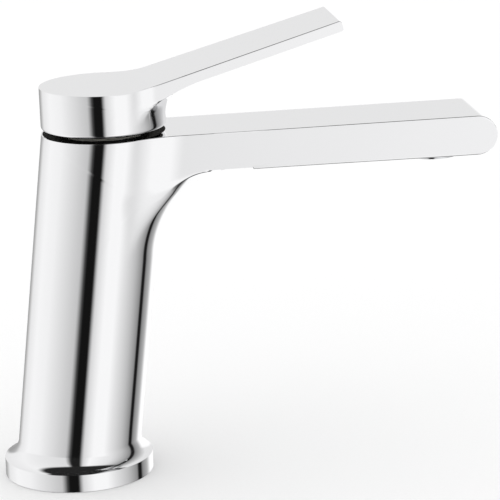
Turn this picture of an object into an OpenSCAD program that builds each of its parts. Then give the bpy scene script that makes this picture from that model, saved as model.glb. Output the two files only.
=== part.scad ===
// Single-lever basin mixer: leaning cast body with a straight flat spout,
// a flush lever cap, a 25 mm ceramic cartridge and a screw-in aerator.
// +X runs along the spout, +Z is up, and the origin is the centre of the
// base's underside, where the mixer meets the basin deck.

/* [Column and base] */
// Height of the body's rim above the deck
body_h = 123.2; // [112:0.1:150]
// Diameter of the column, and of the lever cap that sits flush on it
column_d = 44; // [43:0.5:54]
// Forward lean of the column from the vertical, degrees
lean_deg = 7.16; // [2:0.1:9]
// Wall of the hollow lower column
column_wall = 3.4; // [2.5:0.1:4.5]
// Diameter of the base
base_d = 53; // [50:0.5:66]
// Height of the base's upright rim
base_rim_h = 6.2; // [4:0.1:8]
// Height above the deck where the flare leaves the column
flare_top = 12.4; // [10:0.1:16]

/* [Spout] */
// Distance from the cap axis to the end of the spout
spout_reach = 137.3; // [110:0.5:170]
// Width of the spout
spout_w = 32.2; // [26:0.2:34]
// Thickness of the spout
spout_t = 14; // [13:0.1:15.4]
// Radius of the concave sweep under the spout
sweep_r = 34; // [26:0.5:38]
// Radius, seen from above, that blends the column into the spout's sides
side_blend_r = 20; // [14:0.5:26]
// Distance from the end of the spout back to the aerator's axis
aerator_back = 20.3; // [17:0.1:26]
// Bore of the water passage along the spout
waterway_d = 8; // [6:0.2:9]

/* [Lever and cap] */
// Gap between the body's rim and the cap's lower edge
joint_gap = 1.64; // [1.2:0.02:2.2]
// Height of the cap
cap_h = 15.03; // [14.6:0.05:18]
// Wall of the cap
cap_wall = 2; // [1.8:0.1:2.3]
// Rounding of the cap's lower edge
cap_edge_r = 2; // [1.8:0.1:2.2]
// Distance from the cap axis to the end of the lever's top face
lever_reach = 82.6; // [60:0.5:100]
// Rise of the lever blade, degrees
lever_deg = 15.6; // [10:0.1:20]
// Thickness of the lever blade
lever_t = 3.8; // [3.2:0.1:5]
// Width of the lever blade at its free end
lever_tip_w = 31.8; // [24:0.2:34]
// Narrowing of the blade towards the free end, millimetres of width per millimetre
lever_taper = 0.068; // [0:0.002:0.08]
// Radius of the concave sweep under the lever
lever_sweep_r = 16; // [10:0.5:18]

/* [Cartridge] */
// Diameter of the cartridge housing
cartridge_d = 25.4; // [22:0.1:28]
// Wall of the retaining nut
nut_wall = 2.3; // [2:0.1:2.6]
// Lift of the lever from closed to full flow, degrees
lift_deg = 20; // [12:1:20]
// Thickness of each ceramic disc
disc_t = 3; // [2.6:0.1:3.4]
// Diameter of the pin that the lever spindle turns on
pin_d = 3; // [2.4:0.1:3.2]
// Distance from that pin down to the centre of the spindle's ball
arm = 11; // [10.8:0.1:11.4]

/* [Connections] */
// Core diameter of the M18.5 aerator thread
aerator_d = 17.4; // [15:0.1:18]
// Distance that the aerator stands below the spout
aerator_drop = 2.1; // [1.2:0.1:3]
// Core diameter of the M10x1 hose threads
inlet_d = 9; // [8.6:0.1:9.2]
// Distance between the two hose threads
inlet_pitch = 13.4; // [12.6:0.1:14.2]
// Core diameter of the M8 fixing stud's thread
stud_d = 6.8; // [5:0.1:7.2]
// Diameter of the lever's grub screw
grub_d = 4; // [3:0.5:4]

/* [Hidden] */
$fn = 96;

eps = 0.01;          // overlap that keeps cuts clean
run_fit = 0.08;      // radial play of parts that turn in each other
seat_fit = 0.1;      // radial play of parts that are dropped in
lean = tan(lean_deg);
axis_x = body_h * lean;              // the cap axis, forward of the base centre
column_r = column_d / 2;
base_r = base_d / 2;

// The lever's pivot is the centre of everything that tilts.
pivot_up = 6;                        // pivot above the cap's lower edge
pivot_z = body_h + joint_gap + pivot_up;
cap_in_r = column_r - cap_wall;
cap_top = cap_h - pivot_up;          // the cap's top above the pivot
roof_t = 2.8;                        // thickness of the cap's roof
rim_land = 0.2;                      // flat land round the top of the base's rim
bowl_clear = 0.4;
corner_r = norm([column_r - cap_edge_r, pivot_up - cap_edge_r]) + cap_edge_r;
bowl_r = corner_r + bowl_clear;      // the hollow that the cap's edge swings in

// Heights inside the cartridge, all measured down from the pivot
rotor_top = 2;
housing_top = -4.7;
housing_roof = -6.3;
washer_t = 0.5;
flange_t = 2.4;
rotor_flange_top = housing_roof - washer_t;
rotor_flange_low = rotor_flange_top - flange_t;
rail_h = 1.4;
lift_play = 0.2;                     // between the carrier and the rotor above it
key_y = 5.1;                         // half-width of the carrier's key
key_play = 0.1;
ball_r = 2.35;
socket_play = 0.15;
socket_floor = -arm - ball_r - socket_play;
carrier_low = socket_floor - 0.3;
lap_gap = 0.02;                      // water film between the two discs
moving_low = carrier_low - disc_t;
fixed_top = moving_low - lap_gap;
fixed_low = fixed_top - disc_t;
plug_low = fixed_low - 2.8;
base_low = plug_low - 3;
seal_t = 1;
seal_squash = 0.6;
floor_low = base_low - seal_squash;  // floor of the body's chamber
nut_h = 4.9;
clamp_t = 1.6;
ledge = -18;                         // shoulder that the housing's flange sits on
bowl_floor = -13.5;
housing_r = cartridge_d / 2;
housing_wall = 1.4;
cavity_r = housing_r - housing_wall;
nut_r = housing_r + nut_wall;
clamp_r = nut_r - 0.4;
rotor_r = cavity_r * 0.67;
slide_half = arm * lift_deg * PI / 360;   // half the moving disc's travel
disc_r = cavity_r - slide_half - 0.38;    // leaves play at the ends of the travel
spindle_x = 6;
spindle_y = 5;
finger_r = 2;                        // round lower part of the spindle
socket_r = ball_r + socket_play;
inlet_x = -cavity_r * 0.4425;        // the cartridge's ports, from its axis
inlet_y = cavity_r * 0.4;
outlet_x = cavity_r * 0.4;
inlet_port_r = cavity_r * 0.195;
outlet_port_r = cavity_r * 0.23;
seal_w = cavity_r * 0.095;           // width of a seal, outside the port it closes

// Spout and its passages, heights from the body's rim
spout_z = -spout_t / 2;
aerator_x = spout_reach - aerator_back;
aerator_r = aerator_d / 2;
aerator_depth = spout_t - 2.4;
gallery_drop = 5.5;                  // gallery's axis below the chamber floor
gallery_r = 3;
gallery_z = pivot_z + floor_low - gallery_drop - body_h;
bridge_t = 17;                       // solid metal under the chamber
bridge_low = pivot_z + floor_low - bridge_t;
inlet_depth = 11;
stud_depth = 12;
gasket_w = 2.6;
gasket_seat = 1.4;                   // depth of the groove for the base gasket
gasket_r = base_r - 4.6;
chrome = [0.86, 0.87, 0.88];
brass = [0.80, 0.66, 0.36];
steel = [0.70, 0.71, 0.72];
plastic = [0.93, 0.93, 0.90];
ceramic = [0.97, 0.96, 0.93];
rubber = [0.12, 0.12, 0.13];

// ---------- shared shapes ----------

// Leans upright shapes forward so that each level section keeps its outline.
module leaning() {
    multmatrix([[1, 0, lean, 0], [0, 1, 0, 0], [0, 0, 1, 0], [0, 0, 0, 1]]) children();
}

// Puts shapes drawn round the cap axis and the body's rim where they belong.
module at_rim() {
    translate([axis_x, 0, body_h]) children();
}

// Puts shapes drawn round the lever's pivot where they belong.
module at_pivot() {
    translate([axis_x, 0, pivot_z]) children();
}

// A bushing from z0 to z1.
module ring(r_out, r_in, z0, z1) {
    translate([0, 0, z0]) difference() {
        cylinder(r = r_out, h = z1 - z0);
        translate([0, 0, -1]) cylinder(r = r_in, h = z1 - z0 + 2);
    }
}

// Upright cylinder from z0 to z1.
module post(r, z0, z1) {
    translate([0, 0, z0]) cylinder(r = r, h = z1 - z0);
}

// A side view drawn in X and Z, thickened along Y.
module side_view(width) {
    rotate([90, 0, 0]) linear_extrude(width, center = true) children();
}

// Outline seen from above: a disc of radius r with a straight tongue to its
// front, w0 wide at the axis and w1 wide at x1, blended in by arcs of radius b.
module tongue_plan(r, w0, w1, x1, b) {
    slope = atan((w0 - w1) / 2 / x1);
    reach = r + b;
    side = w0 / 2 * cos(slope) + b;               // arc centre from the axis line
    along = sqrt(reach * reach - side * side);
    centre = [along * cos(slope) + side * sin(slope), side * cos(slope) - along * sin(slope)];
    touch = centre * r / reach;
    circle(r = r);
    polygon([[0, -w0 / 2], [x1, -w1 / 2], [x1, w1 / 2], [0, w0 / 2]]);
    for (s = [-1, 1]) {
        difference() {
            polygon([[0, 0], [touch[0], s * touch[1]],
                     [centre[0], s * touch[1]], [centre[0], 0]]);
            translate([centre[0], s * centre[1]]) circle(r = b, $fn = 180);
        }
    }
}

// Solid of revolution that widens upwards from radius r by a concave arc of
// radius b, whose centre lies at height zc; it ends at height z1 and radius end.
module trumpet(r, b, zc, z1, end) {
    rotate_extrude($fn = 180) difference() {
        translate([0, zc]) square([end, z1 - zc]);
        translate([r + b, zc]) circle(r = b, $fn = 180);
    }
}

// ---------- body ----------

// Outside of the column with the flared base.
module column_outside() {
    flare_w = base_r - column_r;
    flare_h = flare_top - base_rim_h;
    flare_r = (flare_w * flare_w + flare_h * flare_h) / (2 * flare_w);
    leaning() cylinder(r = column_r, h = body_h, $fn = 180);
    leaning() rotate_extrude($fn = 180) difference() {
        translate([0, base_rim_h - rim_land]) square([base_r - rim_land, flare_h + rim_land]);
        translate([column_r + flare_r, flare_top]) circle(r = flare_r, $fn = 180);
    }
    translate([base_rim_h * lean, 0, 0]) cylinder(r = base_r, h = base_rim_h, $fn = 180);
}

// Outside of the spout: flat on top, full round at its end, and swept down
// into the column underneath.
module spout_outside() {
    tongue = spout_reach + 10;
    blend_low = -spout_t - sweep_r;
    intersection() {
        at_rim() translate([0, 0, blend_low - eps])
            linear_extrude(-blend_low + eps)
                tongue_plan(column_r, spout_w, spout_w, tongue, side_blend_r);
        union() {
            at_rim() side_view(column_d + 2) {
                translate([spout_reach - spout_t / 2, spout_z]) circle(d = spout_t);
                translate([0, -spout_t]) square([spout_reach - spout_t / 2, spout_t]);
            }
            intersection() {
                at_rim() leaning()
                    trumpet(column_r, sweep_r, blend_low, -spout_t + eps,
                            column_r + sweep_r);
                translate([axis_x, -column_r, body_h + blend_low])
                    cube([column_r + sweep_r + 20, column_d, -blend_low]);
            }
        }
    }
}

module body() {
    color(chrome) difference() {
        union() {
            column_outside();
            spout_outside();
        }
        // spherical bowl for the cap's edge, and the stepped cartridge chamber
        at_pivot() intersection() {
            sphere(r = bowl_r, $fn = 180);
            post(bowl_r + 1, bowl_floor, 0);
        }
        at_pivot() post(nut_r, ledge, bowl_floor + 1);
        at_pivot() post(housing_r + seat_fit, floor_low, ledge + 1);
        // ports in the chamber floor down to the hose threads and the gallery
        for (s = [-1, 1]) {
            translate([axis_x + inlet_x, s * inlet_y, bridge_low + inlet_depth - 1])
                cylinder(r = inlet_port_r, h = bridge_t - inlet_depth + 2);
            translate([axis_x + inlet_x, s * inlet_pitch / 2, bridge_low - 1])
                cylinder(d = inlet_d, h = inlet_depth + 1);
        }
        at_rim() {
            translate([outlet_x, 0, gallery_z])
                cylinder(r = outlet_port_r, h = gallery_drop + 1);
            gallery_end = column_r - 3;
            translate([outlet_x - gallery_r, 0, gallery_z]) rotate([0, 90, 0])
                cylinder(r = gallery_r, h = gallery_end - outlet_x + gallery_r);
            rise = spout_z - gallery_z;
            translate([gallery_end - gallery_r, 0, gallery_z]) rotate([0, 45, 0])
                cylinder(r = gallery_r, h = rise * sqrt(2) + gallery_r);
            translate([gallery_end + rise - gallery_r, 0, spout_z]) rotate([0, 90, 0])
                cylinder(d = waterway_d, h = aerator_x - gallery_end - rise + gallery_r);
            translate([aerator_x, 0, -spout_t - 1])
                cylinder(r = aerator_r, h = aerator_depth + 1);
        }
        // hollow lower column, stud thread and gasket groove
        leaning() translate([0, 0, -1])
            cylinder(r = column_r - column_wall, h = bridge_low + 1, $fn = 180);
        translate([0, 0, bridge_low - 1]) cylinder(d = stud_d, h = stud_depth + 1);
        ring(gasket_r + gasket_w, gasket_r, -1, gasket_seat);
    }
}

module base_gasket() {
    color(rubber) ring(gasket_r + gasket_w - seat_fit, gasket_r + seat_fit, 0, gasket_seat);
}

// ---------- lever and cap ----------

lever_rise = tan(lever_deg);
sweep_lap = 0.1;                     // how far the sweep's top runs into the blade
lever_start = 10.7;                  // where the planes of blade and cap top meet
top_blend = 60;                      // radius that blends them
blade_edge_r = 1;                    // rounding of the blade's end

// Side view of everything under the cap's and the lever's top faces, from the
// pivot's height up: a flat, an arc and the rising blade with its rounded end.
module under_top() {
    reach = top_blend * tan(lever_deg / 2);
    foot = [lever_start - reach, cap_top];
    head = [lever_start + reach * cos(lever_deg), cap_top + reach * sin(lever_deg)];
    low = -pivot_up;
    round_start = blade_end() - blade_edge_r * [cos(lever_deg), sin(lever_deg)];
    heel = round_start + lever_t * [sin(lever_deg), -cos(lever_deg)];
    polygon([[-column_r - 1, low], [-column_r - 1, cap_top], [lever_start, cap_top],
             round_start, heel, [heel[0], low]]);
    difference() {
        polygon([foot, [lever_start, cap_top], head]);
        translate([foot[0], cap_top + top_blend]) circle(r = top_blend, $fn = 360);
    }
    // the lower corner's centre is a touch low, so that the blade's underside
    // cuts its arc instead of grazing it
    lower = blade_edge_r - lever_t - 0.03;
    translate(blade_end()) rotate(lever_deg) {
        translate([-blade_edge_r - 1, lower])
            square([blade_edge_r + 1, -blade_edge_r - lower]);
        for (y = [-blade_edge_r, lower]) translate([-blade_edge_r, y]) circle(r = blade_edge_r);
    }
}

// End of the blade's top face, seen from the side.
function blade_end() = [lever_reach, cap_top + (lever_reach - lever_start) * lever_rise];

// Side view of the space under the blade.
module below_blade() {
    under = blade_end() + lever_t * [sin(lever_deg), -cos(lever_deg)];
    back = -column_r - 2;
    polygon([[back, under[1] - (under[0] - back) * lever_rise], [back, -pivot_up - 2],
             [under[0] + 5, -pivot_up - 2], [under[0] + 5, under[1] + 5 * lever_rise]]);
}

module handle_outside() {
    root_w = lever_tip_w + lever_taper * lever_reach;
    // cap
    rotate_extrude($fn = 180) {
        translate([0, -pivot_up]) square([column_r - cap_edge_r, cap_edge_r]);
        translate([0, cap_edge_r - pivot_up]) square([column_r, cap_h - cap_edge_r]);
        translate([column_r - cap_edge_r, cap_edge_r - pivot_up]) circle(r = cap_edge_r);
    }
    // blade, with the sweep that carries it off the cap
    intersection() {
        translate([0, 0, -pivot_up]) linear_extrude(80)
            tongue_plan(column_r, root_w, lever_tip_w - lever_taper * 5,
                        lever_reach + 5, side_blend_r);
        difference() {
            side_view(column_d + 2) under_top();
            difference() {
                side_view(column_d + 4) below_blade();
                trumpet(column_r, lever_sweep_r, sweep_z, cap_top + 10,
                        column_r + lever_sweep_r * (1 - sin(lever_deg)));
            }
        }
        translate([lever_start - 14, -column_r - 1, -pivot_up])
            cube([lever_reach + 20, column_d + 2, 80]);
    }
}

// Hub inside the cap, with a boss to its front for the grub screw. Its back is
// cut flat, so that it clears the rotor when the lever is lifted.
hub_r = 5.2;
hub_back = 4.2;
hub_low = 3.8;
socket_top = 7.3;
socket_fit = 0.05;
grub_z = hub_low + 0.2 + grub_d / 2;
boss_x = 10.4;
boss_w = 7;
grub_seat = spindle_x / 2;
grub_len = 5;
sweep_z = cap_top + (column_r + lever_sweep_r - lever_start) * lever_rise
        - (lever_t + lever_sweep_r) / cos(lever_deg) + sweep_lap;   // sweep's centre
grub_exit = column_r + lever_sweep_r
          - sqrt(lever_sweep_r * lever_sweep_r - pow(max(grub_z - sweep_z, 0), 2));
plug_len = 2.4;

module handle() {
    color(chrome) at_pivot() difference() {
        union() {
            difference() {
                handle_outside();
                post(cap_in_r, -pivot_up - 1, cap_top - roof_t);
            }
            intersection() {
                post(hub_r, hub_low, cap_top - roof_t + eps);
                translate([-hub_back, -hub_r, 0]) cube([2 * hub_r + 2, 2 * hub_r, cap_top]);
            }
            translate([0, -boss_w / 2, hub_low])
                cube([boss_x, boss_w, cap_top - roof_t - hub_low + eps]);
        }
        // square socket for the spindle, grub screw thread and its way in
        translate([-spindle_x / 2 - socket_fit, -spindle_y / 2 - socket_fit, 0])
            cube([spindle_x + 2 * socket_fit, spindle_y + 2 * socket_fit, socket_top + 0.1]);
        translate([0, 0, grub_z]) rotate([0, 90, 0]) cylinder(d = grub_d, h = grub_exit + 8);
    }
}

module grub_screw() {
    color(steel) at_pivot() translate([grub_seat, 0, grub_z]) rotate([0, 90, 0]) difference() {
        cylinder(d = grub_d, h = grub_len);
        translate([0, 0, grub_len - 2.4]) cylinder(d = grub_d / 2, h = 3, $fn = 6);
    }
}

module grub_plug() {
    // the hole leaves the sweep at a slant, so the plug sits behind its lower lip
    lip = grub_z - sweep_z - grub_d / 2;
    plug_x = column_r + lever_sweep_r - sqrt(lever_sweep_r * lever_sweep_r - lip * lip);
    color(plastic) at_pivot() translate([plug_x - plug_len, 0, grub_z]) rotate([0, 90, 0])
        cylinder(d = grub_d - 0.1, h = plug_len - 0.1);
}

// ---------- cartridge ----------

module spindle() {
    color(brass) at_pivot() difference() {
        union() {
            translate([-spindle_x / 2, -spindle_y / 2, -3])
                cube([spindle_x, spindle_y, socket_top + 3]);
            post(finger_r, -arm, -2.9);
            translate([0, 0, -arm]) sphere(r = ball_r);
        }
        rotate([90, 0, 0]) cylinder(r = pin_d / 2 + run_fit, h = 20, center = true);
    }
}

module spindle_rotor() {
    slot_back = 4.4;
    slot_front = 5.8;
    slot_y = spindle_y + 0.3;
    rail_w = 1.2;
    rail_len = rotor_r * 1.8;
    color(plastic) at_pivot() {
        difference() {
            union() {
                post(rotor_r, rotor_flange_low, rotor_top);
                post(cavity_r - run_fit, rotor_flange_low, rotor_flange_top);
            }
            translate([-slot_back, -slot_y / 2, rotor_flange_low - 1])
                cube([slot_back + slot_front, slot_y, 20]);
            rotate([90, 0, 0]) cylinder(d = pin_d, h = 20, center = true);
        }
        // two rails that carry the disc carrier's key round and let it slide
        for (s = [-1, 1]) {
            translate([-rail_len / 2, s * (key_y + key_play + rail_w / 2) - rail_w / 2,
                       rotor_flange_low - rail_h])
                cube([rail_len, rail_w, rail_h + eps]);
        }
    }
}

module pivot_pin() {
    color(steel) at_pivot() rotate([90, 0, 0])
        cylinder(d = pin_d, h = rotor_r * 1.7, center = true);
}

module thrust_washer() {
    color("whitesmoke") at_pivot()
        ring(cavity_r - seat_fit, rotor_r + seat_fit, rotor_flange_top, housing_roof);
}

module disc_carrier() {
    key_len = disc_r * 1.33;
    color(plastic) at_pivot() translate([-slide_half, 0, 0]) difference() {
        union() {
            post(disc_r, carrier_low, rotor_flange_low - rail_h - lift_play);
            translate([-key_len / 2, -key_y, carrier_low + 1])
                cube([key_len, 2 * key_y, rotor_flange_low - lift_play - carrier_low - 1]);
        }
        translate([slide_half, 0, socket_floor]) cylinder(r = socket_r, h = 10);
    }
}

module moving_disc() {
    color(ceramic) at_pivot() translate([-slide_half, 0, 0]) difference() {
        post(disc_r, moving_low, carrier_low);
        translate([disc_r * 0.22, 0, moving_low - 1])
            cylinder(r = disc_r * 0.49, h = 1 + disc_t * 0.6);
    }
}

// The three water ports, cut upwards from z0 over the height h; more widens them.
module ports(z0, h, more = 0) {
    for (s = [-1, 1]) {
        translate([inlet_x, s * inlet_y, z0]) cylinder(r = inlet_port_r + more, h = h);
    }
    translate([outlet_x, 0, z0]) cylinder(r = outlet_port_r + more, h = h);
}

// Three sealing rings round the ports, from z0 over the height h.
module seal_rings(z0, h) {
    difference() {
        ports(z0, h, seal_w);
        ports(z0 - 1, h + 2);
    }
}

module fixed_disc() {
    color(ceramic) at_pivot() difference() {
        post(cavity_r - seat_fit, fixed_low, fixed_top);
        ports(fixed_low - 1, disc_t + 2);
    }
}

module cartridge_base() {
    color(plastic) at_pivot() difference() {
        union() {
            post(cavity_r - seat_fit, plug_low, fixed_low);
            post(housing_r, base_low, plug_low);
        }
        ports(base_low - 1, 20);
        ports(base_low - 1, 1 + seal_t - seal_squash, seal_w);
        ports(fixed_low - seal_t, seal_t + 1, seal_w);
    }
}

module disc_seals() {
    color(rubber) at_pivot() seal_rings(fixed_low - seal_t, seal_t);
}

module port_seals() {
    color(rubber) at_pivot() seal_rings(floor_low, seal_t);
}

module cartridge_housing() {
    color(plastic) at_pivot() difference() {
        union() {
            post(housing_r, plug_low, housing_top);
            post(clamp_r, ledge, ledge + clamp_t);
        }
        post(cavity_r, plug_low - 1, housing_roof);
        post(rotor_r + run_fit, housing_roof - 1, housing_top + 1);
    }
}

module retaining_nut() {
    slot_w = 5;
    slot_h = 1.8;
    nut_top = ledge + clamp_t + nut_h;
    color(brass) at_pivot() difference() {
        ring(nut_r, housing_r + seat_fit, ledge + clamp_t, nut_top);
        for (a = [0, 90]) rotate([0, 0, a])
            translate([-nut_r - 1, -slot_w / 2, nut_top - slot_h])
                cube([2 * nut_r + 2, slot_w, slot_h + 1]);
    }
}

module cartridge_cover() {
    nut_top = ledge + clamp_t + nut_h;
    cover_t = 0.8;
    cover_h = 3.6;
    color(chrome) at_pivot() {
        difference() {
            post(nut_r + 0.6, nut_top, nut_top + cover_h);
            post(housing_r + seat_fit, nut_top - 1, nut_top + cover_h + 1);
            post(nut_r + 0.6 - cover_t, nut_top - 1, nut_top + cover_h - cover_t);
        }
    }
}

// ---------- aerator, heights from the spout's underside ----------

barrel_r = aerator_r - 1.2;          // inside of the aerator's housing
barrel_top = 7.4;
insert_top = 5.4;
well_r = aerator_r - 2.6;            // well for the regulator in the insert
well_low = 2.2;
jet_r = 1.1;

module aerator_housing() {
    collar_r = aerator_r + 0.6;
    color(chrome) at_rim() translate([aerator_x, 0, -spout_t]) {
        difference() {
            union() {
                post(aerator_r, 0, barrel_top);
                post(collar_r, -aerator_drop, 0);
            }
            post(barrel_r, -aerator_drop + 1, barrel_top + 1);
            post(barrel_r - 0.8, -aerator_drop - 1, 2);
        }
    }
}

module aerator_insert() {
    color(plastic) at_rim() translate([aerator_x, 0, -spout_t]) difference() {
        post(barrel_r - seat_fit, -aerator_drop + 1, insert_top);
        post(well_r, well_low, insert_top + 1);
        for (k = [0 : 5]) rotate([0, 0, k * 60]) translate([well_r * 0.65, 0, -aerator_drop])
            cylinder(r = jet_r, h = barrel_top);
        translate([0, 0, -aerator_drop]) cylinder(r = jet_r, h = barrel_top);
    }
}

module flow_regulator() {
    color("seagreen") at_rim() translate([aerator_x, 0, -spout_t])
        ring(well_r - seat_fit, 1.6, well_low, insert_top - 0.8);
}

module aerator_filter() {
    color(steel) at_rim() translate([aerator_x, 0, -spout_t]) difference() {
        post(barrel_r - seat_fit, insert_top, barrel_top);
        post(barrel_r - 1.2, insert_top - 0.1, barrel_top - 0.6);
        for (k = [0 : 7]) rotate([0, 0, k * 45]) translate([barrel_r * 0.56, 0, insert_top])
            cylinder(r = 0.8, h = 3);
    }
}

module aerator_seal() {
    color(rubber) at_rim() translate([aerator_x, 0, -spout_t])
        ring(aerator_r - 0.2, well_r, barrel_top, barrel_top + 1.4);
}

body();
base_gasket();
handle();
grub_screw();
grub_plug();
spindle();
spindle_rotor();
pivot_pin();
thrust_washer();
disc_carrier();
moving_disc();
fixed_disc();
disc_seals();
cartridge_base();
port_seals();
cartridge_housing();
retaining_nut();
cartridge_cover();
aerator_housing();
aerator_insert();
flow_regulator();
aerator_filter();
aerator_seal();
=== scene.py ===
import bmesh
import bpy
import numpy as np
from mathutils import Matrix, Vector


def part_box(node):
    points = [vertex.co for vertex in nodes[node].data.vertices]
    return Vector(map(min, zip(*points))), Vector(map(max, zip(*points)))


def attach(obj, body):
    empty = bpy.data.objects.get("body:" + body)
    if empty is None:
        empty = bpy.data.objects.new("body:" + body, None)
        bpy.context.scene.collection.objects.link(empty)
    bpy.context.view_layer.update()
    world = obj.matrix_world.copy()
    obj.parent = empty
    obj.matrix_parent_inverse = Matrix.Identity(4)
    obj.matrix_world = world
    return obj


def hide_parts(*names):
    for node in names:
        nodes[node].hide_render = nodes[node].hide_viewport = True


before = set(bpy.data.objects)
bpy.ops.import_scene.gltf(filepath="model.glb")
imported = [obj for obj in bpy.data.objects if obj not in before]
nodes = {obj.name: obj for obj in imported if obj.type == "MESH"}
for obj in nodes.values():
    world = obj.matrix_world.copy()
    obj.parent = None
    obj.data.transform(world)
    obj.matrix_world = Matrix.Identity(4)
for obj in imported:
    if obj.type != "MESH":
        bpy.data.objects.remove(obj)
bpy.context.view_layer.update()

cap_low, cap_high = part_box("retaining_nut")
cap_x = 500 * (cap_low[0] + cap_high[0])      # cap axis, mm forward of the base centre

# ---------------------------------------------------------------------------
# Camera: a long lens a metre away, a little above the spout, which keeps the
# mixer's upright lines nearly parallel. The horizon is rolled by two degrees.
yaw, pitch, roll = np.radians([7.941, 14.497, -2.12])
ahead = np.array([np.sin(yaw) * np.cos(pitch), np.cos(yaw) * np.cos(pitch), -np.sin(pitch)])
level = np.array([np.cos(yaw), -np.sin(yaw), 0.0])
upward = np.cross(level, ahead)
right = level * np.cos(roll) + upward * np.sin(roll)
top = -level * np.sin(roll) + upward * np.cos(roll)
lens_data = bpy.data.cameras.new("studio_camera")
lens_data.lens = 205.7
lens_data.sensor_width = 36.0
lens_data.clip_end = 50.0
camera = bpy.data.objects.new("studio_camera", lens_data)
turn = Matrix([list(row) for row in np.stack([right, top, -ahead], axis=1)])
camera.matrix_world = Matrix.Translation((-0.07075, -0.97702, 0.33147)) @ turn.to_4x4()
bpy.context.scene.collection.objects.link(camera)
bpy.context.scene.camera = camera


# ---------------------------------------------------------------------------
# Studio: a white tent with a dark slit behind the camera and a narrow dark
# seam at the right. Only mirror-like surfaces see the slit and the seam.
def linear(code):
    """Linear RGBA of an sRGB hex colour."""
    s = np.array([int(code[i:i + 2], 16) for i in (1, 3, 5)]) / 255
    return (*np.where(s <= 0.04045, s / 12.92, ((s + 0.055) / 1.055) ** 2.4), 1.0)


def add(tree, kind, settings=None, **links):
    """One node with its settings, sockets set or linked by name or index."""
    node = tree.nodes.new(kind)
    for key, value in (settings or {}).items():
        setattr(node, key, value)
    for key, value in links.items():
        socket = node.inputs[int(key[1:]) if key[0] == "_" else key.replace("__", " ")]
        if isinstance(value, bpy.types.NodeSocket):
            tree.links.new(value, socket)
        else:
            socket.default_value = value
    return node


def ramp(tree, factor, stops):
    """Colour ramp over a factor of 0 to 1, from pairs of place and hex colour."""
    node = add(tree, "ShaderNodeValToRGB", None, Fac=factor)
    band = node.color_ramp
    while len(band.elements) < len(stops):
        band.elements.new(0.5)
    for element, (place, code) in zip(band.elements, stops):
        element.position = place
        element.color = linear(code)
    return node.outputs["Color"]


world = bpy.data.worlds.new("white_tent")
bpy.context.scene.world = world
world.use_nodes = True
sky = world.node_tree
sky.nodes.clear()
direction = add(sky, "ShaderNodeTexCoord").outputs["Generated"]
faced = add(sky, "ShaderNodeVectorRotate", {"rotation_type": "Z_AXIS"}, Vector=direction,
            Angle=float(yaw)).outputs[0]
parts = add(sky, "ShaderNodeSeparateXYZ", None, Vector=faced).outputs
behind = add(sky, "ShaderNodeMath", {"operation": "MULTIPLY"}, _0=parts[1], _1=-1.0).outputs[0]
azimuth = add(sky, "ShaderNodeMath", {"operation": "ARCTAN2"}, _0=parts[0], _1=behind).outputs[0]
place = add(sky, "ShaderNodeMapRange", None, Value=azimuth, From__Min=-np.pi,
            From__Max=np.pi).outputs[0]


def at(degrees):
    """Place on a ramp of a direction, in degrees right of the camera."""
    return degrees / 360 + 0.5


walls = ramp(sky, place, [
    (at(-178), "#B0B0B0"), (at(-166), "#9C9C9C"), (at(-152), "#B2B2B2"), (at(-138), "#E6E6E6"),
    (at(-110), "#F8F8F8"), (at(-80), "#F3F3F3"), (at(-48), "#DADADA"), (at(-25), "#C4C4C4"),
    (at(-17), "#4A4A4A"), (at(-13), "#141414"), (at(1), "#141414"), (at(8), "#D8D8D8"),
    (at(16), "#EAEAEA"), (at(26), "#FAFAFA"), (at(46), "#FAFAFA"), (at(60), "#E4E4E4"),
    (at(84), "#C0C0C0"), (at(104), "#8C8C8C"), (at(108), "#1A1A1A"), (at(115), "#1A1A1A"),
    (at(119), "#868686"), (at(134), "#B4B4B4"), (at(146), "#FFFFFF")])
above = ramp(sky, place, [
    (at(-176), "#E4E4E4"), (at(-120), "#F4F4F4"), (at(-25), "#DCDCDC"), (at(-16), "#3A3A3A"),
    (at(-13), "#1C1C1C"), (at(1), "#1C1C1C"), (at(8), "#D8D8D8"), (at(20), "#FAFAFA"),
    (at(60), "#E4E4E4"), (at(84), "#BCBCBC"), (at(104), "#8C8C8C"), (at(108), "#1A1A1A"),
    (at(115), "#1A1A1A"), (at(119), "#868686"), (at(134), "#B8B8B8"), (at(150), "#E4E4E4")])
# walls below the horizon, upper walls above it, a dark roof and a dark floor
rise = add(sky, "ShaderNodeMapRange", {"interpolation_type": "SMOOTHSTEP"}, Value=parts[2],
           From__Min=0.02, From__Max=0.16).outputs[0]
ceiling = add(sky, "ShaderNodeMapRange", {"interpolation_type": "SMOOTHSTEP"}, Value=parts[2],
              From__Min=0.8, From__Max=0.88).outputs[0]
tent = add(sky, "ShaderNodeMix", {"data_type": "RGBA"}, _0=rise, _6=walls, _7=above).outputs[2]
tent = add(sky, "ShaderNodeMix", {"data_type": "RGBA"}, _0=ceiling, _6=tent,
           _7=linear("#242424")).outputs[2]
below = add(sky, "ShaderNodeMapRange", {"interpolation_type": "SMOOTHSTEP"}, Value=parts[2],
            From__Min=-0.8, From__Max=-0.9).outputs[0]
tent = add(sky, "ShaderNodeMix", {"data_type": "RGBA"}, _0=below, _6=tent,
           _7=linear("#3A3A3A")).outputs[2]
rays = add(sky, "ShaderNodeLightPath").outputs
seen = add(sky, "ShaderNodeMix", {"data_type": "RGBA"}, _0=rays["Is Glossy Ray"],
           _6=(1.0, 1.0, 1.0, 1.0), _7=tent).outputs[2]
glow = add(sky, "ShaderNodeBackground", None, Color=seen, Strength=1.08)
add(sky, "ShaderNodeOutputWorld", None, Surface=glow.outputs[0])
bpy.context.scene.view_settings.view_transform = "Standard"

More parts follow.
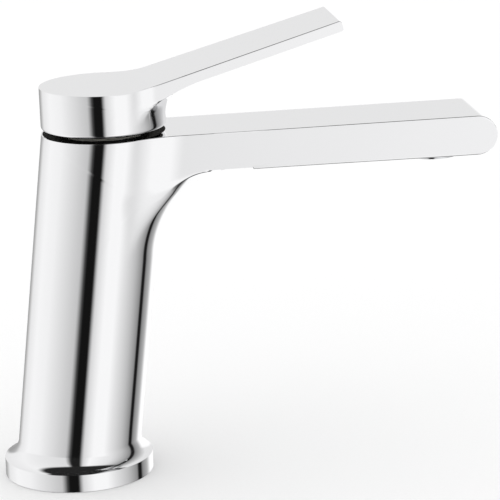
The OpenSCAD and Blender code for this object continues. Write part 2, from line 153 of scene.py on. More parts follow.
floor_mesh = bpy.data.meshes.new("studio_floor")
half = 4.0
floor_mesh.from_pydata([(-half, -half, 0), (half, -half, 0), (half, half, 0), (-half, half, 0)],
                       [], [(0, 1, 2, 3)])
floor = bpy.data.objects.new("studio_floor", floor_mesh)
floor.location.z = -0.0002
paper = bpy.data.materials.new("matte_white_paper")
paper.use_nodes = True
paper.node_tree.nodes.clear()
fibres = add(paper.node_tree, "ShaderNodeTexNoise", None, Scale=900.0,
             Vector=add(paper.node_tree, "ShaderNodeTexCoord").outputs["Object"])
tint = ramp(paper.node_tree, fibres.outputs[0], [(0.0, "#F6F6F6"), (1.0, "#FAFAFA")])
sheet = add(paper.node_tree, "ShaderNodeBsdfDiffuse", None, Color=tint)
add(paper.node_tree, "ShaderNodeOutputMaterial", None, Surface=sheet.outputs[0])
floor_mesh.materials.append(paper)
floor.visible_glossy = False
bpy.context.scene.collection.objects.link(floor)


# ---------------------------------------------------------------------------
# Body: one low-lead brass casting, machined inside, polished and plated with
# nickel and bright chrome. A leaning round column with a flared foot runs into
# a flat-sided spout, swept underneath, with a full round end.
def mesh_piece(name, patches, materials, body, gap=2e-6):
    """One object from patches of grid points in mm (rows, columns, 3): each patch
    gives one face per grid cell, and points closer than the gap are merged."""
    points, faces, start = [], [], 0
    for grid in patches:
        rows, cols = grid.shape[:2]
        index = start + np.arange(rows * cols).reshape(rows, cols)
        faces.append(np.stack([index[:-1, :-1], index[:-1, 1:], index[1:, 1:],
                               index[1:, :-1]], axis=-1).reshape(-1, 4))
        points.append(grid.reshape(-1, 3) * 0.001)
        start += rows * cols
    mesh = bpy.data.meshes.new(name)
    mesh.from_pydata(np.concatenate(points), [], np.concatenate(faces).tolist())
    work = bmesh.new()
    work.from_mesh(mesh)
    bmesh.ops.remove_doubles(work, verts=work.verts, dist=gap)
    bmesh.ops.dissolve_degenerate(work, edges=work.edges, dist=gap / 4)
    bmesh.ops.recalc_face_normals(work, faces=work.faces)
    work.to_mesh(mesh)
    work.free()
    mesh.shade_smooth()
    piece = bpy.data.objects.new(name, mesh)
    bpy.context.scene.collection.objects.link(piece)
    for material in materials:
        mesh.materials.append(material)
    if body:
        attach(piece, body)
    return piece


def eased(t):
    """Smooth step: 3t^2 - 2t^3 between 0 and 1."""
    t = np.clip(t, 0, 1)
    return t * t * (3 - 2 * t)


def plan_width(u, radius, half_width, taper, blend):
    """Half-width of a round column with a tongue to its front, at a distance u
    forward of the axis: the circle, a concave arc tangent to both, the tongue."""
    slope = np.arctan(taper)
    reach = radius + blend
    side = half_width * np.cos(slope) + blend
    along = np.sqrt(np.maximum(reach ** 2 - side ** 2, 0))
    cx = along * np.cos(slope) + side * np.sin(slope)
    cy = side * np.cos(slope) - along * np.sin(slope)
    circle = np.sqrt(np.maximum(radius ** 2 - u ** 2, 0))
    arc = cy - np.sqrt(np.maximum(blend ** 2 - (cx - u) ** 2, 0))
    straight = half_width - taper * u
    return np.where(u <= cx * radius / reach, circle,
                    np.where(u < cx - blend * np.sin(slope), arc, straight))


def joined(a, b, k):
    """Smooth minimum of two widths: their corner is rounded over a difference of k."""
    overlap = np.maximum(k - abs(a - b), 0) / np.maximum(k, 1e-6)
    return np.minimum(a, b) - overlap ** 2 * k / 4


def section_rows(inner, outer, under, side, rounding, axis, follow, round_back,
                 n_under, n_side):
    """Half sections along straight lines of the side view. Each line runs from the
    inner to the outer point; the half-width grows as under(X, Z) up to the crease
    where it meets side(X, Z), and follows side(X, Z) from there, with the corner
    between them rounded by rounding(X, Z). The rows of points follow the crease
    where follow is 1, and the line axis(X, Z) = 0 where it is 0. Where the section
    is round the points go as a sine, and where it ends at an edge evenly spaced."""
    t = np.linspace(0, 1, 3000) ** 3
    line = inner[:, None] + (outer - inner)[:, None] * t[None, :, None]
    below = under(line[..., 0], line[..., 1])
    beside = side(line[..., 0], line[..., 1])
    width_at = joined(below, beside, rounding(line[..., 0], line[..., 1]))
    rows = []
    for i in range(len(inner)):
        k = max(int(np.argmax(below[i] >= beside[i] - 1e-9)), 1)
        gap0, gap1 = beside[i, k - 1] - below[i, k - 1], beside[i, k] - below[i, k]
        share = np.clip(gap0 / (gap0 - gap1), 0, 1) if gap0 > gap1 else 1.0
        share = 1.0 if not np.isfinite(share) else share
        tc = t[k - 1] + share * (t[k] - t[k - 1])
        tc = follow[i] * tc + (1 - follow[i]) * np.interp(0, -axis(*line[i].T), t)
        k = int(np.searchsorted(t, tc))
        width = np.interp(tc, t, width_at[i])
        rise_in = np.maximum.accumulate(np.append(width_at[i, :k], width))
        crease_x = inner[i, 0] + (outer[i, 0] - inner[i, 0]) * tc
        even = eased((crease_x - 14) / 10)              # from a round to a straight section
        step = np.arange(n_under + 1) / n_under
        y_in = width * (even * step + (1 - even) * np.sin(np.pi / 2 * step))
        t_in = np.interp(y_in, rise_in, np.append(t[:k], tc))
        t_in[0], t_in[-1] = 0, tc
        step = np.arange(1, n_side + 1) / n_side
        even = 1 - round_back[i]
        t_out = tc + (1 - tc) * (even * step + (1 - even) * np.sin(np.pi / 2 * step))
        xz = inner[i] + (outer[i] - inner[i]) * np.concatenate([t_in, t_out])[:, None]
        y = joined(under(*xz.T), side(*xz.T), rounding(*xz.T))
        if follow[i] == 1:
            y[:n_under + 1] = y_in
        y[0] = 0
        rows.append(np.stack([xz[:, 0], -y, xz[:, 1]], -1))
    return np.array(rows)


def soft_edge(rows, col, radius, n=6):
    """Rounds the corner that each row of points has at a column: the points before
    and after it draw back by the row's radius, and a parabola joins them."""
    out = []
    for row, r in zip(rows, radius):
        before, after = row[:col + 1], row[col:][::-1]
        parts = []
        for part in (before, after):
            s = np.append(0, np.cumsum(np.linalg.norm(np.diff(part, axis=0), axis=1)))
            total = max(s[-1], 1e-9)
            s_new = s * (1 - min(r / total, 0.45))
            parts.append(np.stack([np.interp(s_new, s, part[:, k]) for k in range(3)], -1))
        p0, p1, p2 = parts[0][-1], row[col], parts[1][-1]
        t = np.linspace(0, 1, n + 1)[1:-1, None]
        curve = (1 - t) ** 2 * p0 + 2 * t * (1 - t) * p1 + t ** 2 * p2
        out.append(np.concatenate([parts[0], curve, parts[1][::-1]]))
    return np.array(out)


def mirrored(grid):
    """The same patch on the other side of the plane Y = 0."""
    return grid * np.array([1, -1, 1])


column_r, base_r, rim_z = 22.0, 26.5, 123.2
lean = np.tan(np.radians(7.16))
sweep_x, sweep_z = 50.3, -47.8                      # sweep under the spout
sweep_r = (sweep_x - lean * sweep_z - column_r) * np.cos(np.arctan(lean))
spout_half, side_blend, tip_x, tip_z = 16.1, 40.0, 130.25, -7.05
n_under, n_side, n_spout, n_tip = 26, 28, 14, 14    # steps of the surface's grid
edge_r = 0.4                                        # polished rounding of the edges
open_width = 99.0                                   # wider than any piece: no limit here


def front(z):
    """Front of the column and the sweep, seen from the side, at a height."""
    dz = np.clip(z - sweep_z, 0, sweep_r - 1e-6)
    touch = sweep_z + sweep_r * np.sin(np.arctan(lean))
    arc = sweep_x - np.sqrt(sweep_r ** 2 - dz ** 2)
    return np.where(z > touch, arc, lean * z + column_r)


def body_under(x, z):
    """Level sections below the spout: half ellipses, as wide as the column and
    as long as the sweep reaches; open above the sweep's top."""
    reach = front(z) - lean * z
    inside = np.sqrt(np.maximum(1 - (np.maximum(x - lean * z, 0) / reach) ** 2, 0))
    return np.where(z >= sweep_z + sweep_r - 1e-4, open_width, column_r * inside)


def body_side(x, z):
    """The plan outline of the column with the spout as its tongue."""
    return plan_width(x - lean * z, column_r, spout_half, 0.0, side_blend)


def body_axis(x, z):
    """Distance forward of the column's leaning axis."""
    return x - lean * z


def body_rounding(x, z):
    """The crease under the spout is sharp, and runs out into the column as a
    blend that grows below it, until the sweep itself runs out."""
    reach = front(z) - lean * z - column_r
    return 3.4 * eased((-14.2 - z) / 7) * eased(reach / 9) * eased((body_axis(x, z) - 3) / 9)


# flared foot and straight column: level circles that follow the lean
foot_z, flare_z = 6.2, 12.4
flare_w, flare_h = base_r - column_r, flare_z - foot_z
flare_r = (flare_w ** 2 + flare_h ** 2) / (2 * flare_w)
turn_up = np.linspace(0, np.arcsin(flare_h / flare_r), 15)[::-1]
heights = np.concatenate([
    [0.0, 0.35, 0.8, 3.0, 5.4, 5.85, foot_z],
    flare_z - flare_r * np.sin(turn_up)[1:],
    np.linspace(flare_z, rim_z + sweep_z, 12)[1:]])
radii = np.concatenate([
    [base_r] * 7, column_r + flare_r * (1 - np.cos(turn_up))[1:], [column_r] * 11])
axis_x = np.concatenate([[lean * foot_z] * 7, lean * heights[7:]]) + cap_x - lean * rim_z
angle = np.concatenate([np.pi / 2 * np.arange(n_under + 1) / n_under,
                        np.pi / 2 * (1 + np.arange(1, n_side + 1) / n_side)])
column = np.stack([axis_x[:, None] + radii[:, None] * np.cos(angle),
                   -radii[:, None] * np.sin(angle),
                   np.broadcast_to(heights[:, None], (len(heights), len(angle)))], -1)

# fan of lines round the sweep's centre, then upright lines along the spout
corner = np.arctan2(-sweep_z, -column_r - sweep_x)
round_x = -column_r * np.cos(np.linspace(0, np.pi / 2, 26))
top_x = np.concatenate([round_x, np.linspace(0, sweep_x - 0.3, 70)[1:]])
fan = np.concatenate([np.linspace(np.pi, corner, 34)[:-1],
                      np.arctan2(-sweep_z, top_x - sweep_x)])
way = np.stack([np.cos(fan), np.sin(fan)], -1)
centre = np.array([sweep_x, sweep_z])
to_front = (sweep_x - lean * sweep_z - column_r) / (lean * way[:, 1] - way[:, 0])
inner = centre + way * np.where(fan > np.pi - np.arctan(lean), to_front, sweep_r)[:, None]
to_top = -sweep_z / np.maximum(way[:, 1], 1e-9)
back = (lean * sweep_z - column_r - sweep_x) / (way[:, 0] - lean * way[:, 1])
outer = centre + way * np.minimum(to_top, back)[:, None]
along_x = np.linspace(sweep_x, tip_x, n_spout)
droop = 0.3                                         # the underside falls to the tip
low_z = sweep_z + sweep_r - droop * eased((along_x - sweep_x) / (tip_x - sweep_x))
inner = np.concatenate([inner, np.stack([along_x, low_z], -1)])
outer = np.concatenate([outer, np.stack([along_x, 0 * along_x], -1)])
# points stay as on the round column in the lowest rows, and change over degree by degree
row_angle = np.degrees(np.append(fan, [0] * n_spout))
round_back = eased((row_angle - np.degrees(corner) + 26) / 26)
follow = eased((175 - row_angle) / 35)
rows = section_rows(inner, outer, body_under, body_side, body_rounding, body_axis,
                    follow, round_back, n_under, n_side)
flat = rows[len(fan):]                               # flat underside of the spout
flat[:, :n_under + 1, 2] = low_z[:, None]
flat[:, :n_under, 1] = -spout_half * np.arange(n_under) / n_under
flat[:, n_under:, 1] = -spout_half
# round end of the spout
swing = np.linspace(0, np.pi / 2, n_tip)[1:]
round_r = -tip_z
tip_low = np.stack([tip_x + round_r * np.sin(swing), tip_z - round_r * np.cos(swing)], -1)
tip_high = tip_low * [1, -1] + [0, 2 * tip_z]
climb = np.arange(n_side + 1) / n_side
tip_line = tip_low[:, None] + (tip_high - tip_low)[:, None] * climb[:, None]
across = -spout_half * np.arange(n_under) / n_under
tip = np.concatenate([
    np.stack([np.repeat(tip_low[:, :1], n_under, 1), np.tile(across, (n_tip - 1, 1)),
              np.repeat(tip_low[:, 1:], n_under, 1)], -1),
    np.stack([tip_line[..., 0], np.full(tip_line.shape[:2], -spout_half),
              tip_line[..., 1]], -1)], axis=1)
rows = np.concatenate([rows, tip])
rows += [cap_x, 0, rim_z]
first_top = int(np.argmin(abs(fan - corner)))


def with_top(rows, first, n_top, radius, keep_last):
    """Rows carried on across the flat top to the middle, with the top edge and the
    crease rounded by a radius that fades in after the first row. Rows before it end
    in the middle of the back. With keep_last, the last row's corners stay sharp."""
    beyond = np.arange(len(rows)) - first
    fill = np.linspace(1, 0, n_top + 1)[1:]
    lid = rows[:, -1:] * np.stack([np.ones(n_top), fill, np.ones(n_top)], -1)
    rows = np.concatenate([rows, lid], axis=1)
    r = np.minimum(radius * eased(beyond / 26), 0.3 * abs(rows[:, n_under + n_side, 1]))
    r[-1] = 0 if keep_last else r[-1]
    rows = soft_edge(rows, n_under + n_side, r)
    r = radius * eased(beyond / 30)
    r[-1] = 0 if keep_last else r[-1]
    return soft_edge(rows, n_under, r)


skin = with_top(np.concatenate([column[:-1], rows]), len(column) - 1 + first_top, 12,
                edge_r, False)
sole = column[0] * [1, 1, 0]
middle = np.array([axis_x[0], 0, 0])
sole = middle + (sole - middle) * np.linspace(1, 0, 6)[:, None, None]
half_body = [skin, sole]


def turned(profile, centre_x, sides=128):
    """A closed profile of (radius, height) pairs turned round an upright axis."""
    a = np.linspace(0, 2 * np.pi, sides + 1)
    r, z = np.array(profile, float).T
    return np.stack([centre_x + r[:, None] * np.cos(a), r[:, None] * np.sin(a),
                     np.broadcast_to(z[:, None], (len(r), sides + 1))], -1)


def carve(piece, cutters, operation="DIFFERENCE"):
    """Cuts the cutters out of the piece and removes them. A cutter with a material
    leaves it on the faces that it cuts."""
    for cutter in cutters:
        step = piece.modifiers.new("cut", "BOOLEAN")
        step.operation, step.object, step.solver = operation, cutter, "EXACT"
        step.material_mode = "TRANSFER"
        bpy.context.view_layer.update()
        result = bpy.data.meshes.new_from_object(
            piece.evaluated_get(bpy.context.evaluated_depsgraph_get()))
        piece.modifiers.clear()
        old, piece.data = piece.data, result
        bpy.data.meshes.remove(old)
        bpy.data.objects.remove(cutter)
    piece.data.name = piece.name


def polished_chrome(name, hex_colour, roughness):
    """Bright chrome plate on a polished casting: a mirror, with a polish so fine
    that it only softens the reflections' edges a little and unevenly."""
    material = bpy.data.materials.new(name)
    material.use_nodes = True
    tree = material.node_tree
    tree.nodes.clear()
    spot = add(tree, "ShaderNodeTexCoord").outputs["Object"]
    # buffing leaves patches about 12 mm wide, and a skin ripple about 3 mm long
    patches = add(tree, "ShaderNodeTexNoise", None, Vector=spot, Scale=80.0, Detail=3.0)
    ripple = add(tree, "ShaderNodeTexNoise", None, Vector=spot, Scale=300.0, Detail=1.0)
    haze = add(tree, "ShaderNodeMapRange", None, Value=patches.outputs[0],
               To__Min=roughness * 0.6, To__Max=roughness * 1.4)
    skin = add(tree, "ShaderNodeBump", None, Strength=0.02, Distance=0.00005,
               Height=ripple.outputs[0])
    plate = add(tree, "ShaderNodeBsdfPrincipled", None, Metallic=1.0,
                Base__Color=linear(hex_colour), Roughness=haze.outputs[0],
                Normal=skin.outputs[0])
    add(tree, "ShaderNodeOutputMaterial", None, Surface=plate.outputs[0])
    return material


def machined_metal(name, dark, light, roughness, pitch, along="Z"):
    """Turned or ground metal: fine lines across one axis, a pitch in mm apart, that
    break up its shine, and slow drifts between two tints."""
    material = bpy.data.materials.new(name)
    material.use_nodes = True
    tree = material.node_tree
    tree.nodes.clear()
    spot = add(tree, "ShaderNodeTexCoord").outputs["Object"]
    drift = add(tree, "ShaderNodeTexNoise", None, Vector=spot, Scale=150.0, Detail=2.0)
    tint = ramp(tree, drift.outputs[0], [(0.3, dark), (0.7, light)])
    lines = add(tree, "ShaderNodeTexWave", {"bands_direction": along}, Vector=spot,
                Scale=314.16 / pitch, Distortion=1.2)
    shine = add(tree, "ShaderNodeMapRange", None, Value=lines.outputs["Fac"],
                To__Min=roughness * 0.8, To__Max=roughness * 1.3)
    grooves = add(tree, "ShaderNodeBump", None, Strength=0.25, Distance=0.00001,
                  Height=lines.outputs["Fac"])
    metal = add(tree, "ShaderNodeBsdfPrincipled", None, Metallic=1.0, Base__Color=tint,
                Roughness=shine.outputs[0], Normal=grooves.outputs[0])
    add(tree, "ShaderNodeOutputMaterial", None, Surface=metal.outputs[0])
    return material


chrome = polished_chrome("bright_chrome_plate", "#F4F4F5", 0.05)
# inside the casting the plate is thin and dull, and its colour is painted dark as shade, so the
# joint under the cap reads dark
inside = machined_metal("turned_casting_painted_shade", "#3A3936", "#565450", 0.42, 0.25)
body = mesh_piece("body_shell", [p for h in half_body for p in (h, mirrored(h))], [chrome],
                  "mixer_body")
# bowl for the cap's edge, seats of the nut and the cartridge, from the lever's pivot
pivot_z, bowl_r, bowl_floor, nut_r, ledge = 130.84, 22.86, -13.5, 15.0, -18.0
bore_r, floor_low = 12.8, -26.22
hollow_r, hollow_top = 18.6, 87.6                   # hollow lower column
outlet_x, outlet_r, outlet_top = 117.0, 8.72, -2.4  # the aerator's thread, from the rim
sharp_angle = np.radians(28)
dip = np.linspace(0.02, np.arcsin(-bowl_floor / bowl_r), 24)
bowl = [(0, pivot_z + 1)] + [(bowl_r * np.cos(a), pivot_z - bowl_r * np.sin(a)) for a in dip]
bowl += [(nut_r, pivot_z + bowl_floor), (nut_r, pivot_z + ledge), (bore_r, pivot_z + ledge),
         (bore_r, pivot_z + floor_low), (0, pivot_z + floor_low)]
# the cutters leave the dark painted-shade colour on the faces that they cut
chamber = mesh_piece("chamber_cut", [turned(bowl, cap_x)], [inside], None)
hollow = turned([(0, -1), (hollow_r, -1), (hollow_r, hollow_top), (0, hollow_top)], 0)
hollow[..., 0] += lean * hollow[..., 2] + cap_x - lean * rim_z
hollow = mesh_piece("hollow_cut", [hollow], [inside], None)
outlet = turned([(0, -16), (outlet_r, -16), (outlet_r, outlet_top), (0, outlet_top)],
                cap_x + outlet_x)
outlet[..., 2] += rim_z
outlet = mesh_piece("aerator_cut", [outlet], [inside], None)
carve(body, [chamber, hollow, outlet])
body.data.set_sharp_from_angle(angle=sharp_angle)
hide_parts("body")


# ---------------------------------------------------------------------------
# Lever with its cap: one zinc die casting, polished and plated like the body.
# A round cup with a flat top turns into a rising blade with a sharp square end,
# and a small sweep under the blade carries it off the cup's front. A grub screw
# through the front of its hub clamps it on the cartridge's spindle.
cup_top, cup_low, cup_edge = 16.67, 1.64, 1.4       # heights from the body's rim
tilt, blade_end, blade_t = np.radians(15.6), 82.6, 3.8
blade_half, blade_taper, bend_r, under_r = 18.74, 0.034, 60.0, 16.0
blade_start, lever_blend = 10.69, 20.0              # where the top planes meet; side arcs
turn_from, turn_over = 20, 55                       # degrees of the sweep, see lever_under
blade_slope = np.tan(tilt)
under_x = column_r + under_r                        # centre of the sweep under the blade
bend_x = blade_start - bend_r * np.tan(tilt / 2)
bend_run = bend_r * np.sin(tilt)
under_z = cup_top + (under_x - blade_start) * blade_slope - (
    blade_t + under_r) / np.cos(tilt) + 0.05


def blade_top(x):
    """Height of the lever's top: flat, a long arc, then the straight slope."""
    arc = cup_top + bend_r - np.sqrt(bend_r ** 2 - np.clip(x - bend_x, 0, bend_run) ** 2)
    return arc + np.maximum(x - bend_x - bend_run, 0) * blade_slope


def lever_reach(z):
    """How far forward the sweep under the blade has come at a height."""
    dz = np.clip(z - under_z, 0, under_r - 1e-6)
    return under_x - np.sqrt(under_r ** 2 - dz ** 2)


def lever_under(x, z):
    """Sections under the blade: the cup's circle drawn out forward with the sweep,
    ever less towards the sides as the sweep turns over into the blade."""
    beta = np.degrees(np.arcsin(np.clip((z - under_z) / under_r, 0, 1)))
    spread = np.maximum(1 - eased((beta - turn_from) / turn_over), 1e-3)
    reach = lever_reach(z)
    back = reach - np.maximum(reach - x, 0) / spread
    wide = np.sqrt(np.maximum(reach ** 2 - np.maximum(back, 0) ** 2, 0))
    return np.where(back <= 0, open_width, wide)


def lever_side(x, z):
    """Plan outline of the cup with the blade as its tapering tongue."""
    return plan_width(x, column_r, blade_half, blade_taper, lever_blend)


def lever_axis(x, z):
    """Distance forward of the cup's axis."""
    return x


def sharp(x, z):
    """A crease with no rounding."""
    return 0 * x


corner = np.arctan2(cup_top - under_z, -column_r - under_x)
top_x = np.concatenate([round_x, np.linspace(0, 32.6, 60)[1:]])
lever_fan = np.concatenate([np.linspace(np.pi, corner, 20)[:-1],
                            np.arctan2(blade_top(top_x) - under_z, top_x - under_x)])
way = np.stack([np.cos(lever_fan), np.sin(lever_fan)], -1)
centre = np.array([under_x, under_z])
inner = centre + under_r * way
# each line ends on the top face or, low down, at the back of the cup
steps = np.linspace(under_r, 90, 4000)
along = centre + way[:, None] * steps[None, :, None]
out = (along[..., 1] >= blade_top(along[..., 0])) | (along[..., 0] <= -column_r)
last = steps[np.argmax(out, axis=1)]
outer = centre + way * last[:, None]
outer[:, 0] = np.maximum(outer[:, 0], -column_r)
follow = eased((178 - np.degrees(lever_fan)) / 25)
corner = int(np.argmin(abs(lever_fan - corner)))
outer[:corner, 1] = under_z - np.tan(lever_fan[:corner]) * (column_r + under_x)
outer[corner] = [-column_r, cup_top]
outer[corner + 1:, 1] = blade_top(outer[corner + 1:, 0])
round_back = eased(1 - (np.arange(len(lever_fan)) - corner) / 14)
rows = section_rows(inner, outer, lever_under, lever_side, sharp, lever_axis,
                    follow, round_back, n_under, n_side)
# the straight blade and its end, whose top and bottom corners are rounded by 1 mm
along = np.array([np.cos(tilt), np.sin(tilt)])
up = np.array([-along[1], along[0]])
end = np.array([blade_end, float(blade_top(np.array(blade_end)))])
length = (end - outer[-1]) @ along
swing = np.linspace(0, np.pi / 2, 9)
back = np.concatenate([np.linspace(length, 1, n_spout + 2)[1:-1], 1 - np.sin(swing)])
round_in = np.concatenate([np.zeros(n_spout), 1 - np.cos(swing)])[:, None]
head = end - along * back[:, None] - up * round_in
foot = end - along * back[:, None] - up * (blade_t - round_in)
climb = np.arange(n_side + 1)[:, None] / n_side
face = foot[:, None] + (head - foot)[:, None] * climb
half = lever_side(face[..., 0], face[..., 1])
across = half[:, :1] * np.arange(n_under) / n_under
blade = np.concatenate([
    np.stack([np.repeat(foot[:, :1], n_under, 1), -across,
              np.repeat(foot[:, 1:], n_under, 1)], -1),
    np.stack([face[..., 0], -half, face[..., 1]], -1)], axis=1)
rows = np.concatenate([rows, blade])
fill = np.linspace(0, 1, n_under + 1)
end_face = np.stack([np.repeat(face[-1, :, :1], n_under + 1, 1), -half[-1][:, None] * fill,
                     np.repeat(face[-1, :, 1:], n_under + 1, 1)], -1)
# cup below the sweep: level circles, with a rounded lower edge
turn = np.linspace(0, np.pi / 2, 9)
level = np.concatenate([cup_low + cup_edge * (1 - np.cos(turn)), [under_z]])
cup_r = np.append(column_r - cup_edge * (1 - np.sin(turn)), column_r)
cup = np.stack([cup_r[:, None] * np.cos(angle), -cup_r[:, None] * np.sin(angle),
                np.repeat(level[:, None], len(angle), 1)], -1)
cup_sole = cup[0] * np.stack([np.linspace(1, 0, 6)] * 2 + [np.ones(6)], -1)[:, None]
skin = with_top(np.concatenate([cup[:-1], rows]), len(cup) - 1 + corner, n_under,
                edge_r, True)
half_lever = [skin, end_face, cup_sole]
half_lever = [grid + [cap_x, 0, rim_z] for grid in half_lever]


def block(low, high):
    """A closed box between two corners, in mm from the pivot."""
    low, high = np.array(low, float), np.array(high, float)
    grid = turned([(0, low[2]), (1, low[2]), (1, high[2]), (0, high[2])], 0, 4)
    grid[..., :2] = grid[..., :2] @ np.array([[1, 1], [-1, 1]])
    grid[..., :2] = (low[:2] + high[:2]) / 2 + grid[..., :2] * (high[:2] - low[:2]) / 2
    return grid + [cap_x, 0, pivot_z]


lever = mesh_piece("lever_shell", [q for g in half_lever for q in (g, mirrored(g))], [chrome],
                   "lever")
cast = machined_metal("bare_zinc_inside", "#4A4B4D", "#66686B", 0.45, 0.4)
# hollow of the cup, and in it the hub with a flat back and a boss for the screw
roof_t, cup_in, hub_r, hub_low, hub_back = 2.8, 20, 5.2, 3.8, 4.2
boss_half, boss_top, boss_front = 3.5, 7.4, 10.4
socket_x, socket_y, socket_top, grub_r, grub_up = 3.05, 2.55, 7.4, 2, 6.0
roof = cup_top - roof_t + rim_z
cup_cut = turned([(0, rim_z - 2), (cup_in, rim_z - 2), (cup_in, roof), (0, roof)], cap_x)
carve(lever, [mesh_piece("cup_cut", [cup_cut], [cast], None)])
hub = turned([(0, pivot_z + hub_low), (hub_r, pivot_z + hub_low), (hub_r, roof + 1),
              (0, roof + 1)], cap_x)
hub = mesh_piece("hub", [hub], [cast], None)
carve(hub, [mesh_piece("hub_back", [block((-9, -9, 0), (-hub_back, 9, 20))], [cast], None)])
boss = block((0.4, -boss_half, hub_low), (boss_front, boss_half, boss_top))
boss = mesh_piece("boss", [boss], [cast], None)
carve(lever, [hub, boss], "UNION")
socket = block((-socket_x, -socket_y, 0), (socket_x, socket_y, socket_top))
socket = mesh_piece("socket", [socket], [cast], None)
hole = turned([(0, 0), (grub_r, 0), (grub_r, 26), (0, 26)], 0, 32)[..., [2, 1, 0]]
hole = mesh_piece("grub_hole", [hole + [cap_x, 0, pivot_z + grub_up]], [cast], None)
carve(lever, [socket, hole])
lever.data.set_sharp_from_angle(angle=sharp_angle)
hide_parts("handle")


# ---------------------------------------------------------------------------
# Gasket under the base: an EPDM ring pressed into the base's groove, which keeps
# water out of the deck hole.
def dress(name, material):
    """The CAD node keeps its shape and takes the material."""
    nodes[name].data.materials.clear()
    nodes[name].data.materials.append(material)


def soft_rubber(name, dark, light, roughness, grain):
    """Moulded rubber: matte, with a grain in mm and a dusty bloom in patches."""
    material = bpy.data.materials.new(name)
    material.use_nodes = True
    tree = material.node_tree
    tree.nodes.clear()
    spot = add(tree, "ShaderNodeTexCoord").outputs["Object"]
    bloom = add(tree, "ShaderNodeTexNoise", None, Vector=spot, Scale=180.0, Detail=4.0)
    tint = ramp(tree, bloom.outputs[0], [(0.4, dark), (0.75, light)])
    pores = add(tree, "ShaderNodeTexNoise", None, Vector=spot, Scale=1000.0 / grain, Detail=2.0)
    skin = add(tree, "ShaderNodeBump", None, Strength=0.4, Distance=0.00003,
               Height=pores.outputs[0])
    rubber = add(tree, "ShaderNodeBsdfPrincipled", None, Base__Color=tint, Roughness=roughness,
                 Normal=skin.outputs[0])
    add(tree, "ShaderNodeOutputMaterial", None, Surface=rubber.outputs[0])
    return material


dress("base_gasket", soft_rubber("black_epdm", "#141415", "#2A2A2B", 0.62, 0.25))


# ---------------------------------------------------------------------------
# Grub screw: M4 stainless cup-point screw with a hexagon socket, screwed through
# the front of the lever's hub. Fine turned lines dull its shine.
dress("grub_screw", machined_metal("stainless_screw", "#8E9092", "#B2B4B6", 0.28, 0.18, "X"))


# ---------------------------------------------------------------------------
# Plug over the grub screw's hole: a small moulded stopper of grey ABS, pushed in
# by hand.
def moulded_plastic(name, dark, light, roughness, grain, flow=1.0):
    """Injection-moulded plastic: two close tints drawn out along the flow, and an
    eroded skin with a grain in mm that scatters the shine."""
    material = bpy.data.materials.new(name)
    material.use_nodes = True
    tree = material.node_tree
    tree.nodes.clear()
    spot = add(tree, "ShaderNodeTexCoord").outputs["Object"]
    drawn = add(tree, "ShaderNodeMapping", None, Vector=spot, Scale=(1.0, 1.0, 1.0 / flow))
    streaks = add(tree, "ShaderNodeTexNoise", None, Vector=drawn.outputs[0], Scale=260.0,
                  Detail=3.0)
    tint = ramp(tree, streaks.outputs[0], [(0.3, dark), (0.7, light)])
    grit = add(tree, "ShaderNodeTexNoise", None, Vector=spot, Scale=1000.0 / grain, Detail=2.0)
    shine = add(tree, "ShaderNodeMapRange", None, Value=grit.outputs[0],
                To__Min=roughness * 0.8, To__Max=roughness * 1.2)
    skin = add(tree, "ShaderNodeBump", None, Strength=0.3, Distance=0.00002,
               Height=grit.outputs[0])
    plastic = add(tree, "ShaderNodeBsdfPrincipled", None, Base__Color=tint,
                  Roughness=shine.outputs[0], Normal=skin.outputs[0])
    add(tree, "ShaderNodeOutputMaterial", None, Surface=plastic.outputs[0])
    return material


dress("grub_plug", moulded_plastic("grey_abs", "#9A9B9D", "#A8A9AB", 0.38, 0.15))


# ---------------------------------------------------------------------------
# Spindle: turned and milled brass with a square head in the lever and a ball end
# in the carrier. Tool lines run round it.
dress("spindle", machined_metal("turned_brass", "#B08D4A", "#CFAE68", 0.26, 0.2))


# ---------------------------------------------------------------------------
# Rotor that the spindle turns and tilts in: glass-filled acetal, whose fibres
# show as faint streaks.
dress("spindle_rotor", moulded_plastic("glass_filled_acetal", "#D9D6CB", "#E8E6DD", 0.45, 0.2, 5.0))


# ---------------------------------------------------------------------------
# Pin that the spindle tilts on: ground stainless rod, pressed into the rotor.
# Grinding leaves it the brightest of the steel parts.
dress("pivot_pin", machined_metal("ground_steel_pin", "#A2A4A6", "#C2C4C6", 0.16, 0.08, "Y"))


# ---------------------------------------------------------------------------
# Thrust washer between the rotor's flange and the housing's roof: punched PTFE,
# waxy and nearly pure white.
dress("thrust_washer", moulded_plastic("white_ptfe", "#EDEDEA", "#F6F6F4", 0.55, 0.3))


# ---------------------------------------------------------------------------
# Carrier pushed by the spindle's ball, keyed on the rotor's rails: natural acetal,
# smoother than the glass-filled rotor.
dress("disc_carrier", moulded_plastic("natural_acetal", "#E4E3DD", "#EFEEEA", 0.32, 0.12, 2.0))


# ---------------------------------------------------------------------------
# Ceramic discs: pressed and sintered alumina, lapped flat so that they seal with
# a film of water between them. Off-white with tiny grey grains.
def lapped_ceramic(name, body_tint, grain_tint, roughness):
    """Sintered alumina: an even body with scattered darker grains 0.3 mm apart and
    a lapped, half-shiny face."""
    material = bpy.data.materials.new(name)
    material.use_nodes = True
    tree = material.node_tree
    tree.nodes.clear()
    spot = add(tree, "ShaderNodeTexCoord").outputs["Object"]
    cells = add(tree, "ShaderNodeTexVoronoi", None, Vector=spot, Scale=3300.0)
    tint = ramp(tree, cells.outputs["Distance"], [(0.08, grain_tint), (0.22, body_tint)])
    lap = add(tree, "ShaderNodeTexNoise", None, Vector=spot, Scale=900.0, Detail=2.0)
    shine = add(tree, "ShaderNodeMapRange", None, Value=lap.outputs[0],
                To__Min=roughness * 0.7, To__Max=roughness * 1.3)
    disc = add(tree, "ShaderNodeBsdfPrincipled", None, Base__Color=tint,
               Roughness=shine.outputs[0])
    add(tree, "ShaderNodeOutputMaterial", None, Surface=disc.outputs[0])
    return material


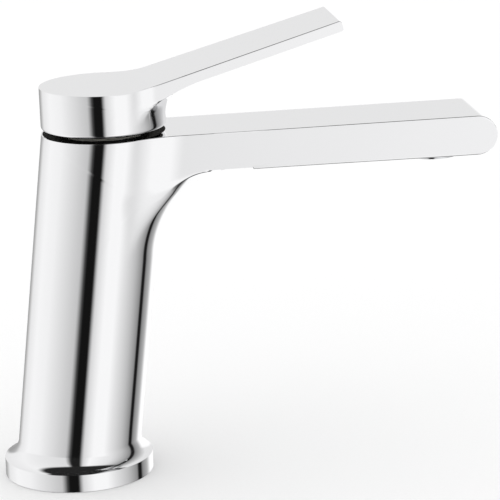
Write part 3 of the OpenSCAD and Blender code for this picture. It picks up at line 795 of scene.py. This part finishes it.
alumina = lapped_ceramic("lapped_alumina", "#EFECE2", "#C9C5B8", 0.2)
dress("moving_disc", alumina)


# ---------------------------------------------------------------------------
# Fixed disc with the three ports, keyed in the cartridge's base: the same alumina
# as the moving disc above it.
dress("fixed_disc", alumina)


# ---------------------------------------------------------------------------
# Seals round the ports, above and below the cartridge's base: moulded nitrile
# rubber, a little shinier than the gasket because they are greased.
nitrile = soft_rubber("greased_nitrile", "#101112", "#1D1E20", 0.34, 0.4)
dress("disc_seals", nitrile)


# ---------------------------------------------------------------------------
# Seals on the chamber's floor: the same mouldings, the other way up.
dress("port_seals", nitrile)


# ---------------------------------------------------------------------------
# Cartridge base with its three ports: moulded acetal in light grey, snapped into
# the housing.
dress("cartridge_base", moulded_plastic("light_grey_acetal", "#B4B7B8", "#C3C6C7", 0.4, 0.15, 2.0))


# ---------------------------------------------------------------------------
# Cartridge housing: moulded acetal, warm white, clamped by the nut on its flange.
dress("cartridge_housing",
      moulded_plastic("warm_white_acetal", "#DEDBCF", "#EAE7DC", 0.4, 0.18, 3.0))


# ---------------------------------------------------------------------------
# Retaining nut: turned brass with slots for the key, screwed into the body over
# the cartridge. Left unplated and slightly tarnished.
dress("retaining_nut", machined_metal("tarnished_brass", "#8E713A", "#B8965A", 0.36, 0.3))


# ---------------------------------------------------------------------------
# Cover ring over the nut: drawn brass cup, chrome plated, a thin bright line in
# the joint under the cap.
dress("cartridge_cover", polished_chrome("thin_chrome_on_drawn_cup", "#B9BABC", 0.16))


# ---------------------------------------------------------------------------
# Aerator housing: turned brass, chrome plated. Only its collar shows under the
# spout; its colour is painted darker than the casting's, as shade, because it faces the basin.
dress("aerator_housing", polished_chrome("aerator_chrome", "#DADBDD", 0.12))


# ---------------------------------------------------------------------------
# Aerator insert: white polypropylene star that shapes the jets.
dress("aerator_insert", moulded_plastic("white_polypropylene", "#E3E4E4", "#EEEFEF", 0.42, 0.15))


# ---------------------------------------------------------------------------
# Flow regulator: moulded in the green that marks its flow class, with a rubber
# ring inside.
dress("flow_regulator", moulded_plastic("green_regulator", "#2E7D50", "#3A8E5E", 0.4, 0.15))


# ---------------------------------------------------------------------------
# Strainer over the regulator: pressed stainless, finely scratched.
dress("aerator_filter", machined_metal("strainer_steel", "#8F9193", "#ABADAF", 0.3, 0.12, "X"))


# ---------------------------------------------------------------------------
# Washer that seals the aerator in the spout: flat black EPDM, cut from a tube.
dress("aerator_seal", soft_rubber("washer_epdm", "#171718", "#2C2C2D", 0.56, 0.2))
